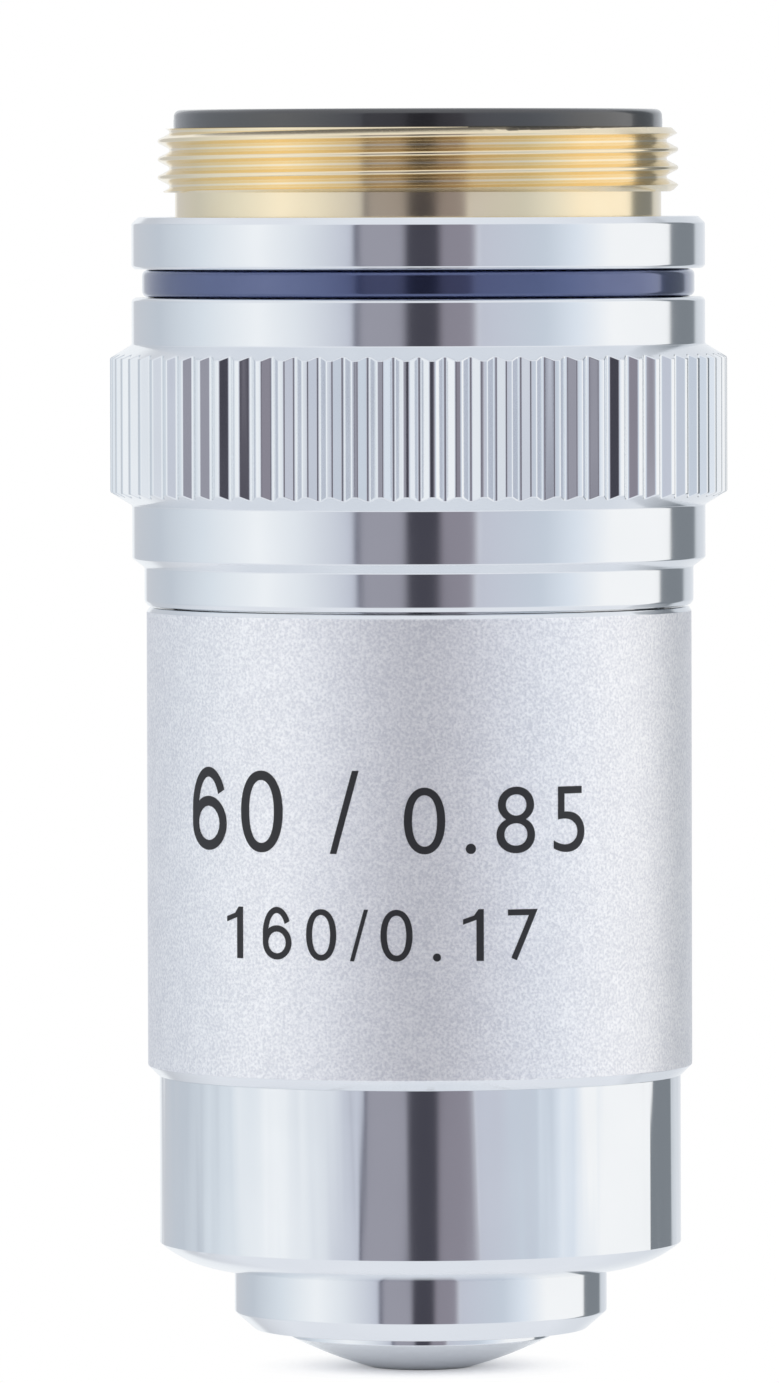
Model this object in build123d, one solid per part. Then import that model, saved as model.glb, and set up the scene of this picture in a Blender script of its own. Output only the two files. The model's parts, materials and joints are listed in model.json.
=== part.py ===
from build123d import *
import os
from math import copysign, pi, sqrt

# Spring-loaded 60x microscope objective with the society thread, as a set of turned pieces.
# Lengths are millimetres. Z is the optical axis: the thread points up and the front lens down.
# The origin is the centre of the shoulder that seats against the nosepiece.
# Sizes that end in _r are radii. Heights that end in _z are measured from the shoulder.

# Clearances
fit_gap = 0.02  # radial gap of screwed, pressed and cemented pieces
slide_gap = 0.05  # radial gap of the nose barrel in its guide bore
groove_gap = 0.02  # axial gap at each side of the colour ring

# Thread bush: 20.24 mm over the crests, 36 turns an inch
thread_r = 10.12
thread_length = 2.48
thread_lead_in = 0.25
neck_step = 0.67
neck_length = 0.95
bush_depth = 4.5
bush_wall = 1.85
bush_edge = 0.2

# Rear baffle, the black ring above the thread
baffle_step = 0.62
baffle_height = 0.72
baffle_edge = 0.25
baffle_spigot_wall = 0.9
baffle_socket_wall = 1.13
baffle_spigot_length = 1.9
baffle_slot_width = 1.3
baffle_slot_depth = 0.35

# Grip body: shoulder flange, groove, bands, ridged grip and polished ring
shoulder_step = 1.03
seat_relief_gap = 0.08
seat_relief_depth = 0.1
flange_length = 2.02
flange_edge = 0.27
groove_width = 1.11
groove_depth = 0.9
groove_lip = 0.12
upper_band_length = 1.82
grip_step = 0.85
grip_length = 6.25
grip_end_taper = 0.52
ridge_count = 76
ridge_depth = 0.25
ridge_crest = 0.25
ridge_root = 0.12
lower_band_length = 2.05
lower_band_taper = 0.35
ring_step = 0.47
ring_length = 1.55
joint_width = 0.19
joint_depth = 0.12
grip_spigot_wall = 0.8
grip_spigot_length = 8.85
chamber_gap = 0.1

# Colour ring in the groove
colour_ring_edge = 0.25
colour_ring_crown = 0.24

# Barrel sleeve
sleeve_step = 0.08
sleeve_length = 18.25
sleeve_wall = 1.03
sleeve_edge = 0.42

# Front collar
collar_step = 0.45
collar_length = 7.48
collar_round_height = 0.98
collar_face_width = 0.6
collar_round_bulge = 0.19
collar_spigot_length = 4.0
collar_relief_depth = 0.3
collar_land_length = 2.8

# Spring and its seat
seat_ring_gap = 0.4
seat_ring_height = 2.0
seat_ring_lip = 0.15
spring_side_gap = 0.5
spring_wire_r = 0.35
spring_wire_sides = 8  # the wire is drawn eight-sided, which keeps its facets few
spring_turns = 5.25

# Nose barrel and its stops
travel = 3.0
parfocal_side_gap = 0.25
parfocal_ring_step = 1.25
parfocal_ring_height = 3.0
parfocal_ring_edge = 0.2
parfocal_lock_height = 1.5
nose_reach = 2.42
nose_edge_length = 0.7
nose_edge_depth = 0.8
nose_thread_step = 0.25
nose_side_wall = 1.65
nose_front_wall = 2.0
nose_rim = 2.6
key_width = 1.3
key_depth = 0.55
key_end_gap = 0.05

# Guide screw, M1.6 with a dog point
screw_r = 0.8
screw_head_depth = 0.05
screw_drop = 2.0
dog_r = 0.6
screw_slot_width = 0.25
screw_slot_depth = 0.4

# Front cell and front lens
front_cell_r = 5.05
front_cell_rim = 0.3
front_cell_reach = 1.5
front_shank_r = 4.2
tip_face_r = 1.95
tip_bulge = 0.08
front_lens_curve = 1.35
front_lens_height = 1.9
front_lens_set_back = 0.02

# Meniscus and its cell. A glass surface's depth is its height from vertex to rim.
front_air_gap = 0.38
meniscus_shank_wall = 1.0
meniscus_cell_wall = 0.96
meniscus_lip = 0.32
meniscus_lip_width = 0.35
meniscus_lower_depth = 0.88
meniscus_upper_depth = 1.31
meniscus_thickness = 1.35

# Front doublet and its cell
front_doublet_wall = 2.06
front_doublet_lip = 0.7
front_doublet_lip_width = 0.4
front_shank_cover = 1.1  # least reach of the cell's lip over the front cell's shank
front_flint_thickness = 0.8
front_cement_depth = 1.23
front_crown_edge = 0.5
front_crown_depth = 1.02

# Rear doublet and its cell
rear_doublet_wall = 1.56
rear_doublet_lip = 0.7
rear_doublet_lip_width = 0.4
rear_flint_thickness = 0.9
rear_cement_depth = 1.46
rear_crown_edge = 0.3
rear_crown_depth = 0.94

# Spacers, aperture stop and the ring that clamps the stack
cell_rim = 0.4
spacer_wall = 1.18
front_spacer_length = 1.7
rear_spacer_length = 3.2
stop_thickness = 0.4
stop_land = 3.18
stack_lock_height = 2.0
stack_lock_wall = 1.58

# Slots for a pin spanner in the inner rings
spanner_slot_width = 1.2
spanner_slot_depth = 0.6

# Radii of the housing, worked inwards from the thread
neck_r = thread_r - neck_step
bush_bore_r = neck_r - bush_wall
bush_seat_r = neck_r + fit_gap
baffle_r = thread_r - baffle_step
baffle_spigot_r = neck_r - baffle_socket_wall - fit_gap
baffle_bore_r = baffle_spigot_r - baffle_spigot_wall
body_r = thread_r + shoulder_step
seat_relief_r = thread_r + seat_relief_gap
groove_r = body_r - groove_depth
grip_r = body_r + grip_step
ring_r = body_r - ring_step
joint_r = ring_r - joint_depth
sleeve_r = ring_r - sleeve_step
sleeve_bore_r = sleeve_r - sleeve_wall
spigot_r = sleeve_bore_r - fit_gap
collar_r = sleeve_r - collar_step
chamber_r = spigot_r - grip_spigot_wall
spring_mean_r = chamber_r - spring_side_gap - spring_wire_r
seat_ring_bore_r = spring_mean_r - spring_wire_r - seat_ring_lip

# Radii of the moving nose, worked inwards from the spring chamber
parfocal_ring_r = chamber_r - parfocal_side_gap
nose_r = parfocal_ring_r - parfocal_ring_step
guide_r = nose_r + slide_gap
nose_thread_r = nose_r - nose_thread_step
nose_bore_r = nose_r - nose_side_wall
cell_r = nose_bore_r - fit_gap
front_doublet_r = cell_r - front_doublet_wall - fit_gap
rear_doublet_r = cell_r - rear_doublet_wall - fit_gap
stop_hole_r = cell_r - stop_land
meniscus_seat_r = front_shank_r - meniscus_shank_wall
meniscus_r = meniscus_seat_r - meniscus_cell_wall - 2 * fit_gap
meniscus_lip_r = meniscus_r - meniscus_lip_width
front_lip_r = min(front_doublet_r - front_doublet_lip_width, front_shank_r - front_shank_cover)
rear_lip_r = rear_doublet_r - rear_doublet_lip_width

# Heights of the housing, worked down from the shoulder
thread_bottom_z = neck_length
thread_top_z = thread_bottom_z + thread_length
groove_top_z = -flange_length
groove_bottom_z = groove_top_z - groove_width
grip_top_z = groove_bottom_z - upper_band_length
grip_bottom_z = grip_top_z - grip_length
lower_band_end_z = grip_bottom_z - lower_band_length
ring_top_z = lower_band_end_z - lower_band_taper
joint_z = ring_top_z - ring_length
sleeve_bottom_z = joint_z - sleeve_length
collar_face_z = sleeve_bottom_z - collar_length
stop_face_z = sleeve_bottom_z + collar_spigot_length
bush_end_z = -bush_depth
chamber_top_z = bush_end_z - chamber_gap
seat_ring_top_z = chamber_top_z - seat_ring_gap
spring_top_z = seat_ring_top_z - seat_ring_height
parfocal_lock_z = stop_face_z + parfocal_ring_height
spring_bottom_z = parfocal_lock_z + parfocal_lock_height
screw_z = stop_face_z - screw_drop
nose_face_z = collar_face_z - nose_reach

# Heights of the optics, worked up from the tip, each glass seated on its cell's lip
tip_z = nose_face_z - front_cell_reach
front_lens_top_z = tip_z + front_lens_set_back + front_lens_height
front_lens_centre_z = front_lens_top_z - front_lens_curve
meniscus_z = front_lens_top_z + front_air_gap
meniscus_rim_z = meniscus_z - meniscus_lower_depth
meniscus_seat_z = meniscus_rim_z - meniscus_lip
nose_wall_z = nose_face_z + nose_front_wall
front_glass_z = nose_wall_z + front_doublet_lip
front_crown_z = front_glass_z + front_flint_thickness
front_crown_thickness = front_cement_depth + front_crown_edge + front_crown_depth
front_spacer_z = front_crown_z + front_crown_thickness + cell_rim
rear_cell_z = front_spacer_z + front_spacer_length
rear_glass_z = rear_cell_z + rear_doublet_lip
rear_crown_z = rear_glass_z + rear_flint_thickness
rear_crown_thickness = rear_cement_depth + rear_crown_edge + rear_crown_depth
rear_spacer_z = rear_crown_z + rear_crown_thickness + cell_rim
stop_z = rear_spacer_z + rear_spacer_length
stack_lock_z = stop_z + stop_thickness
stack_top_z = stack_lock_z + stack_lock_height
nose_top_z = stack_top_z + nose_rim


def turned(outline):
    """Return the solid that a closed outline of (radius, z) points sweeps about the Z axis."""
    return revolve(Plane.XZ * make_face(outline), Axis.Z)


def tube(outer_r, bore_r, bottom_z, top_z):
    """Return a plain ring between two radii and two heights."""
    corners = [(bore_r, bottom_z), (outer_r, bottom_z), (outer_r, top_z), (bore_r, top_z)]
    return turned(Polyline(*corners, close=True))


def rod(outer_r, bottom_z, top_z):
    """Return a plain cylinder on the axis, used to cut round bores."""
    return Pos(0, 0, bottom_z) * Cylinder(
        outer_r, top_z - bottom_z, align=(Align.CENTER, Align.CENTER, Align.MIN)
    )


def cross_slot(outer_r, top_z, width, depth):
    """Return the bar that cuts two opposite spanner slots into the top of a ring."""
    return Pos(0, 0, top_z) * Box(3 * outer_r, width, 2 * depth)


def lens_face(vertex_z, rise, rim_r):
    """Return a lens surface's half section from the axis to its rim. Rise is the rim's height
    above the vertex, negative where the rim lies below it, and zero is flat."""
    if rise == 0.0:
        return Line((0, vertex_z), (rim_r, vertex_z))
    curve_r = (rim_r**2 + rise**2) / (2 * abs(rise))
    half_rise = copysign(curve_r - sqrt(curve_r**2 - (rim_r / 2) ** 2), rise)
    return ThreePointArc((0, vertex_z), (rim_r / 2, vertex_z + half_rise), (rim_r, vertex_z + rise))


def lens(rim_r, bottom_z, bottom_rise, thickness, top_rise):
    """Return a lens from its lower vertex, thickness and signed rises, with a ground edge."""
    bottom = lens_face(bottom_z, bottom_rise, rim_r)
    top = lens_face(bottom_z + thickness, top_rise, rim_r)
    outline = bottom + Line(bottom @ 1, top @ 1) + top + Line(top @ 0, bottom @ 0)
    return turned(outline)


def bulged(start, end, bulge):
    """Return an arc between two (radius, z) points that stands out from their chord by bulge,
    on the right-hand side of the way from start to end."""
    chord = Vector(end[0] - start[0], end[1] - start[1])
    out = Vector(chord.Y, -chord.X).normalized() * bulge
    middle = ((start[0] + end[0]) / 2 + out.X, (start[1] + end[1]) / 2 + out.Y)
    return ThreePointArc(start, middle, end)


def make_rear_baffle():
    """Black ring that screws into the back of the bush, with two spanner slots."""
    top_z = thread_top_z + baffle_height
    ring = turned(
        Polyline(
            (baffle_bore_r, thread_top_z - baffle_spigot_length),
            (baffle_spigot_r, thread_top_z - baffle_spigot_length),
            (baffle_spigot_r, thread_top_z),
            (baffle_r, thread_top_z),
            (baffle_r, top_z),
            (baffle_bore_r, top_z),
            close=True,
        )
    )
    top_rims = ring.edges().filter_by(GeomType.CIRCLE).group_by(Axis.Z)[-1]
    ring = fillet(top_rims.sort_by(SortBy.RADIUS)[-1], baffle_edge)
    return ring - cross_slot(baffle_r, top_z, baffle_slot_width, baffle_slot_depth)


def make_thread_bush():
    """Brass bush: thread, neck and the spigot that screws into the grip body."""
    socket_r = baffle_spigot_r + fit_gap
    socket_z = thread_top_z - baffle_spigot_length
    return turned(
        Polyline(
            (bush_bore_r, bush_end_z),
            (neck_r - bush_edge, bush_end_z),
            (neck_r, bush_end_z + bush_edge),
            (neck_r, thread_bottom_z),
            (thread_r - thread_lead_in, thread_bottom_z),
            (thread_r, thread_bottom_z + thread_lead_in),
            (thread_r, thread_top_z - thread_lead_in),
            (thread_r - thread_lead_in, thread_top_z),
            (socket_r, thread_top_z),
            (socket_r, socket_z),
            (bush_bore_r, socket_z),
            close=True,
        )
    )


def make_ridged_grip():
    """Ridged band of the grip: a straight knurl of flat-topped ridges with tapered ends."""
    ridge_pitch = 2 * pi * grip_r / ridge_count
    root_half = ridge_root / 2
    crest_half = (ridge_pitch - ridge_crest) / 2
    mouth_half = 2 * crest_half - root_half
    groove = make_face(
        Polyline(
            (grip_r - ridge_depth, -root_half),
            (grip_r + ridge_depth, -mouth_half),
            (grip_r + ridge_depth, mouth_half),
            (grip_r - ridge_depth, root_half),
            close=True,
        )
    )
    section = Circle(grip_r) - PolarLocations(0, ridge_count) * groove
    ridges = extrude(Pos(0, 0, grip_bottom_z) * section, grip_length)
    blank = turned(
        Polyline(
            (0, grip_bottom_z),
            (body_r, grip_bottom_z),
            (grip_r, grip_bottom_z + grip_end_taper),
            (grip_r, grip_top_z - grip_end_taper),
            (body_r, grip_top_z),
            (0, grip_top_z),
            close=True,
        )
    )
    return ridges & blank


def make_grip_body():
    """Chromed grip body: shoulder, colour groove, ridges, polished ring and rear spigot."""
    spigot_end_z = joint_z - grip_spigot_length
    body = turned(
        Polyline(
            (0, 0),
            (body_r - flange_edge, 0),
            (body_r, -flange_edge),
            (body_r, groove_top_z + groove_lip),
            (body_r - groove_lip, groove_top_z),
            (groove_r, groove_top_z),
            (groove_r, groove_bottom_z),
            (body_r - groove_lip, groove_bottom_z),
            (body_r, groove_bottom_z - groove_lip),
            (body_r, lower_band_end_z),
            (ring_r, ring_top_z),
            (ring_r, joint_z + joint_width),
            (joint_r, joint_z),
            (spigot_r, joint_z),
            (spigot_r, spigot_end_z),
            (0, spigot_end_z),
            close=True,
        )
    )
    body += make_ridged_grip()
    body -= rod(seat_relief_r, -seat_relief_depth, neck_length)
    body -= rod(bush_seat_r, chamber_top_z, 0)
    return body - rod(chamber_r, spigot_end_z, chamber_top_z)


def make_colour_ring():
    """Crowned enamel ring that lies in the groove below the shoulder."""
    top_z = groove_top_z - groove_gap
    bottom_z = groove_bottom_z + groove_gap
    inner_r = groove_r + fit_gap
    edge_r = groove_r + colour_ring_edge
    crown = ThreePointArc(
        (edge_r, bottom_z), (edge_r + colour_ring_crown, (top_z + bottom_z) / 2), (edge_r, top_z)
    )
    rest = Polyline(crown @ 1, (inner_r, top_z), (inner_r, bottom_z), crown @ 0)
    return turned(crown + rest)


def make_spring_seat_ring():
    """Threaded ring at the top of the spring chamber, with two spanner slots."""
    outer_r = chamber_r - fit_gap
    ring = tube(outer_r, seat_ring_bore_r, spring_top_z, seat_ring_top_z)
    return ring - cross_slot(outer_r, seat_ring_top_z, spanner_slot_width, spanner_slot_depth)


def make_main_spring():
    """Compression spring with ground ends, from the seat ring to the parfocal lock ring."""
    height = spring_top_z - spring_bottom_z
    pitch = height / spring_turns
    overrun = 2 * spring_wire_r
    start_z = spring_bottom_z - overrun
    path = Pos(0, 0, start_z) * Helix(pitch, height + 2 * overrun, spring_mean_r)
    section = Plane(origin=path @ 0, z_dir=path % 0) * RegularPolygon(spring_wire_r, spring_wire_sides)
    coil = sweep(section, path=path, is_frenet=True)
    return coil & rod(chamber_r, spring_bottom_z, spring_top_z)


def make_barrel_sleeve():
    """Satin sleeve over the grip and collar spigots, with a polished front chamfer."""
    return turned(
        Polyline(
            (sleeve_bore_r, sleeve_bottom_z),
            (sleeve_r - sleeve_edge, sleeve_bottom_z),
            (sleeve_r, sleeve_bottom_z + sleeve_edge),
            (sleeve_r, joint_z - joint_width),
            (sleeve_r - joint_depth, joint_z),
            (sleeve_bore_r, joint_z),
            close=True,
        )
    )


def make_front_collar():
    """Chromed collar with the guide bore, its relief and the stop face for the nose."""
    relief_r = guide_r + collar_relief_depth
    lower_land_z = collar_face_z + collar_land_length
    upper_land_z = screw_z - collar_land_length
    rounded = bulged(
        (guide_r + collar_face_width, collar_face_z),
        (collar_r, collar_face_z + collar_round_height),
        collar_round_bulge,
    )
    rest = Polyline(
        rounded @ 1,
        (collar_r, sleeve_bottom_z),
        (spigot_r, sleeve_bottom_z),
        (spigot_r, stop_face_z),
        (guide_r, stop_face_z),
        (guide_r, upper_land_z),
        (relief_r, upper_land_z),
        (relief_r, lower_land_z),
        (guide_r, lower_land_z),
        (guide_r, collar_face_z),
        rounded @ 0,
    )
    return turned(rounded + rest) - screw_place() * rod(screw_r + fit_gap, 0, collar_r)


def screw_place():
    """Return the guide screw's place: its own Z runs from the optical axis out along +Y."""
    return Pos(0, 0, screw_z) * Rot(-90, 0, 0)


def make_guide_screw():
    """Dog-point grub screw whose tip runs in the nose barrel's keyway."""
    tip = nose_r - key_depth + slide_gap
    shoulder = guide_r + slide_gap
    head = spigot_r - screw_head_depth
    screw = rod(dog_r, tip, head) + rod(screw_r, shoulder, head)
    slot = Pos(0, 0, head) * Box(3 * screw_r, screw_slot_width, 2 * screw_slot_depth)
    return screw_place() * (screw - slot)


def make_nose_barrel():
    """Sliding nose barrel: front wall, guide surface, keyway and rear thread."""
    barrel = turned(
        Polyline(
            (front_shank_r + fit_gap, nose_face_z),
            (nose_r - nose_edge_depth, nose_face_z),
            (nose_r, nose_face_z + nose_edge_length),
            (nose_r, stop_face_z),
            (nose_thread_r, stop_face_z),
            (nose_thread_r, nose_top_z),
            (nose_bore_r, nose_top_z),
            (nose_bore_r, nose_wall_z),
            (front_shank_r + fit_gap, nose_wall_z),
            close=True,
        )
    )
    key_length = travel + 2 * dog_r + 2 * key_end_gap
    key_place = Plane(
        origin=(0, nose_r - key_depth, screw_z - travel / 2), x_dir=(0, 0, 1), z_dir=(0, 1, 0)
    )
    return barrel - extrude(key_place * SlotOverall(key_length, key_width), 2 * key_depth)


def make_parfocal_ring():
    """Ring on the nose thread that lands on the collar and sets the parfocal length."""
    ring = tube(parfocal_ring_r, nose_thread_r + fit_gap, stop_face_z, parfocal_lock_z)
    outer_rims = ring.edges().filter_by(GeomType.CIRCLE).sort_by(SortBy.RADIUS)[-2:]
    return chamfer(outer_rims, parfocal_ring_edge)


def make_parfocal_lock_ring():
    """Thin slotted ring that locks the parfocal ring and carries the spring."""
    ring = tube(parfocal_ring_r, nose_thread_r + fit_gap, parfocal_lock_z, spring_bottom_z)
    return ring - cross_slot(parfocal_ring_r, spring_bottom_z, spanner_slot_width, spanner_slot_depth)


def make_front_cell():
    """Domed front cell that holds the front lens and the meniscus cell."""
    socket_curve = front_lens_curve + fit_gap
    mouth_r = sqrt(socket_curve**2 - (front_lens_centre_z - tip_z) ** 2)
    middle_z = (front_lens_centre_z + tip_z) / 2
    middle_r = sqrt(socket_curve**2 - (front_lens_centre_z - middle_z) ** 2)
    dome = bulged((tip_face_r, tip_z), (front_cell_r, nose_face_z - front_cell_rim), tip_bulge)
    outside = Polyline(
        dome @ 1,
        (front_cell_r, nose_face_z),
        (front_shank_r, nose_face_z),
        (front_shank_r, nose_wall_z),
        (meniscus_seat_r, nose_wall_z),
        (meniscus_seat_r, meniscus_seat_z),
        (socket_curve, meniscus_seat_z),
        (socket_curve, front_lens_centre_z),
    )
    socket = ThreePointArc(outside @ 1, (middle_r, middle_z), (mouth_r, tip_z))
    return turned(dome + outside + socket + Line(socket @ 1, dome @ 0))


def make_front_lens():
    """Hyperhemisphere front lens: a ball cut flat on the side that faces the specimen."""
    flat_z = tip_z + front_lens_set_back
    flat_r = sqrt(front_lens_curve**2 - (front_lens_centre_z - flat_z) ** 2)
    ball = ThreePointArc((flat_r, flat_z), (front_lens_curve, front_lens_centre_z), (0, front_lens_top_z))
    return turned(ball + Polyline(ball @ 1, (0, flat_z), ball @ 0))


def make_cell(outer_r, bottom_z, top_z, lip_height, lip_r, glass_r):
    """Return a lens cell: a tube with a lip at its front that the glass rests on."""
    pocket_r = glass_r + fit_gap
    return turned(
        Polyline(
            (lip_r, bottom_z),
            (outer_r, bottom_z),
            (outer_r, top_z),
            (pocket_r, top_z),
            (pocket_r, bottom_z + lip_height),
            (lip_r, bottom_z + lip_height),
            close=True,
        )
    )


def make_aperture_stop():
    """Thin disc whose hole has a knife edge, set below the clamp ring."""
    return turned(
        Polyline(
            (stop_hole_r, stop_z),
            (cell_r, stop_z),
            (cell_r, stack_lock_z),
            (stop_hole_r + stop_thickness, stack_lock_z),
            close=True,
        )
    )


def make_stack_lock_ring():
    """Slotted ring that clamps the whole optical stack in the nose barrel."""
    ring = tube(cell_r, cell_r - stack_lock_wall, stack_lock_z, stack_top_z)
    return ring - cross_slot(cell_r, stack_top_z, spanner_slot_width, spanner_slot_depth)


pieces = {
    "rear_baffle": make_rear_baffle(),
    "thread_bush": make_thread_bush(),
    "grip_body": make_grip_body(),
    "colour_ring": make_colour_ring(),
    "spring_seat_ring": make_spring_seat_ring(),
    "main_spring": make_main_spring(),
    "barrel_sleeve": make_barrel_sleeve(),
    "front_collar": make_front_collar(),
    "guide_screw": make_guide_screw(),
    "nose_barrel": make_nose_barrel(),
    "parfocal_ring": make_parfocal_ring(),
    "parfocal_lock_ring": make_parfocal_lock_ring(),
    "front_cell": make_front_cell(),
    "front_lens": make_front_lens(),
    "meniscus_cell": make_cell(
        meniscus_seat_r - fit_gap,
        meniscus_seat_z,
        nose_wall_z,
        meniscus_lip,
        meniscus_lip_r,
        meniscus_r,
    ),
    "meniscus_lens": lens(
        meniscus_r, meniscus_z, -meniscus_lower_depth, meniscus_thickness, -meniscus_upper_depth
    ),
    "front_doublet_cell": make_cell(
        cell_r, nose_wall_z, front_spacer_z, front_doublet_lip, front_lip_r, front_doublet_r
    ),
    "front_doublet_flint": lens(
        front_doublet_r, front_glass_z, 0.0, front_flint_thickness, front_cement_depth
    ),
    "front_doublet_crown": lens(
        front_doublet_r, front_crown_z, front_cement_depth, front_crown_thickness, -front_crown_depth
    ),
    "front_spacer": tube(cell_r, cell_r - spacer_wall, front_spacer_z, rear_cell_z),
    "rear_doublet_cell": make_cell(
        cell_r, rear_cell_z, rear_spacer_z, rear_doublet_lip, rear_lip_r, rear_doublet_r
    ),
    "rear_doublet_flint": lens(
        rear_doublet_r, rear_glass_z, 0.0, rear_flint_thickness, rear_cement_depth
    ),
    "rear_doublet_crown": lens(
        rear_doublet_r, rear_crown_z, rear_cement_depth, rear_crown_thickness, -rear_crown_depth
    ),
    "rear_spacer": tube(cell_r, cell_r - spacer_wall, rear_spacer_z, stop_z),
    "aperture_stop": make_aperture_stop(),
    "stack_lock_ring": make_stack_lock_ring(),
}

os.makedirs("parts", exist_ok=True)
for name, piece in pieces.items():
    export_step(piece, f"parts/{name}.step")
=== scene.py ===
"""Looks of a spring-loaded microscope objective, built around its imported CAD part.

The outer pieces are turned, fluted, threaded and edge-broken here at the sizes of the frame. The
inner ones keep their CAD shape and get a finish. Pieces are modelled in millimetres and handed
over in metres.
"""

import json
import logging
import math
from abc import ABC, abstractmethod
from contextlib import contextmanager
from dataclasses import dataclass
from enum import Enum
from functools import cache, partial
from itertools import pairwise
from typing import Callable, Iterator, Sequence

import bpy
from bpy.types import Material, Node, NodeSocket, NodeTree, Object
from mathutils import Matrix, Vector


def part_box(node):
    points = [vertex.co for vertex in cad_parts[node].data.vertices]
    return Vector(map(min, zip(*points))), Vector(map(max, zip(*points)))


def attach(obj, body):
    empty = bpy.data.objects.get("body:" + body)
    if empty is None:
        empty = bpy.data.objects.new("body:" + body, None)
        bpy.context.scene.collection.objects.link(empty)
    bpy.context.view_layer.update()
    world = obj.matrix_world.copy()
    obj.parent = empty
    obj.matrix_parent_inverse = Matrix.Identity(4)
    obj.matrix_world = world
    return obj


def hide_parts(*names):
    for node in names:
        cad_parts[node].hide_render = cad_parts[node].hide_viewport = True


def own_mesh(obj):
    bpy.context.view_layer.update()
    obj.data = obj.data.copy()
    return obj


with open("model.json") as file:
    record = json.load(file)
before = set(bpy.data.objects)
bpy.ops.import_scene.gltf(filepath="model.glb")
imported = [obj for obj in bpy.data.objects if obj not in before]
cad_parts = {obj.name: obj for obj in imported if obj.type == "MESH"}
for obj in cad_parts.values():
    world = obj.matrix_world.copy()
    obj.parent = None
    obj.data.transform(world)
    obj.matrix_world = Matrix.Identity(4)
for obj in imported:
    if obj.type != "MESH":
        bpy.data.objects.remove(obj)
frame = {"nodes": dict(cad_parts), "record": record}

log = logging.getLogger("objective")

MM = 0.001  # metres in a millimetre
TURN_STEPS = 256  # facets round a turned piece
MERGE_DISTANCE = 1e-3  # millimetres
SMOOTH_ANGLE = math.radians(42.0)
EDGE_ANGLE = math.radians(28.0)  # edges sharper than this are broken
CORNER_STEPS = 6  # chords in a small rounded corner
CURVE_STEPS = 12  # chords in a larger rounded form

Point = tuple[float, float]
Colour = tuple[float, float, float, float]
AddNode = Callable[..., Node]


class Body(Enum):
    """CAD bodies that a piece can ride on."""

    HOUSING = "housing"
    NOSE = "nose_assembly"


class Slot(Enum):
    """Material slots of the record."""

    BLACK_ANODISED = "black_anodised"
    BRASS = "brass"
    BRIGHT_CHROME = "bright_chrome"
    SATIN_CHROME = "satin_chrome"
    BLUE_ENAMEL = "blue_enamel"
    BLACKENED_BRASS = "blackened_brass"
    SPRING_STEEL = "spring_steel"
    OPTICAL_GLASS = "optical_glass"


class Overlap(Enum):
    """What is left of a piece where it overlaps a tool."""

    REMOVE = "DIFFERENCE"
    KEEP = "INTERSECT"


@dataclass(frozen=True)
class Span:
    """The room that a round CAD node fills at rest, in millimetres."""

    radius: float
    bottom: float
    top: float

    @classmethod
    def of(cls, node: str) -> "Span":
        """Measure one node of the frame."""
        low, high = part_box(node)
        return cls(max(high.x, high.y) / MM, low.z / MM, high.z / MM)


def select_only(piece: Object) -> None:
    """Make one object the selected and active one."""
    bpy.ops.object.select_all(action="DESELECT")
    piece.select_set(True)
    bpy.context.view_layer.objects.active = piece


@contextmanager
def editing(piece: Object) -> Iterator[None]:
    """Hold one object in edit mode with all of its mesh selected."""
    select_only(piece)
    bpy.ops.object.mode_set(mode="EDIT")
    bpy.ops.mesh.select_all(action="SELECT")
    yield
    bpy.ops.object.mode_set(mode="OBJECT")


def merge_doubles() -> None:
    """Merge the vertices in edit mode that lie on each other."""
    bpy.ops.mesh.select_all(action="SELECT")
    bpy.ops.mesh.remove_doubles(threshold=MERGE_DISTANCE)


def face_outwards() -> None:
    """Turn all faces of the mesh in edit mode outwards."""
    bpy.ops.mesh.select_all(action="SELECT")
    bpy.ops.mesh.normals_make_consistent(inside=False)


def saw_off(height: float, keep_above: bool) -> None:
    """Cut the mesh in edit mode level at a height, and close the cut."""
    bpy.ops.mesh.select_all(action="SELECT")
    bpy.ops.mesh.bisect(
        plane_co=(0, 0, height),
        plane_no=(0, 0, 1),
        use_fill=True,
        clear_inner=keep_above,
        clear_outer=not keep_above,
    )


def add_shape(kind: str, **settings: object) -> Object:
    """Add one of Blender's basic meshes, with its place kept in the mesh."""
    bpy.ops.object.select_all(action="DESELECT")
    getattr(bpy.ops.mesh, f"primitive_{kind}_add")(**settings)
    bpy.ops.object.transform_apply()
    return bpy.context.object


def draw(name: str, points: Sequence[Vector], closed: bool) -> Object:
    """Draw a chain of edges from point to point.

    Args:
        name: Name of the new object.
        points: Corners of the chain, in millimetres.
        closed: Whether the last corner is joined to the first.

    Returns:
        A mesh object that holds only the chain.
    """
    chain = add_shape("plane", size=1.0)
    chain.name = name
    stops = [*points, points[0]] if closed else list(points)
    with editing(chain):
        bpy.ops.mesh.merge(type="CENTER")
        bpy.ops.transform.translate(value=stops[0])
        for start, end in pairwise(stops):
            bpy.ops.mesh.extrude_vertices_move(TRANSFORM_OT_translate={"value": end - start})
        merge_doubles()
    return chain


def turn(
    name: str, outline: Sequence[Point], closed: bool = True, steps: int = TURN_STEPS
) -> Object:
    """Turn an outline about the Z axis, as on a lathe.

    Args:
        name: Name of the new piece.
        outline: Corners as (radius, height), in millimetres.
        closed: False for an outline that starts and ends on the axis.
        steps: Facets round the axis.

    Returns:
        The closed, outward-facing turned piece.
    """
    piece = draw(name, [Vector((radius, 0.0, height)) for radius, height in outline], closed)
    with editing(piece):
        bpy.ops.mesh.spin(steps=steps, angle=math.tau, center=(0, 0, 0), axis=(0, 0, 1))
        merge_doubles()
        face_outwards()
    return piece


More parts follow.
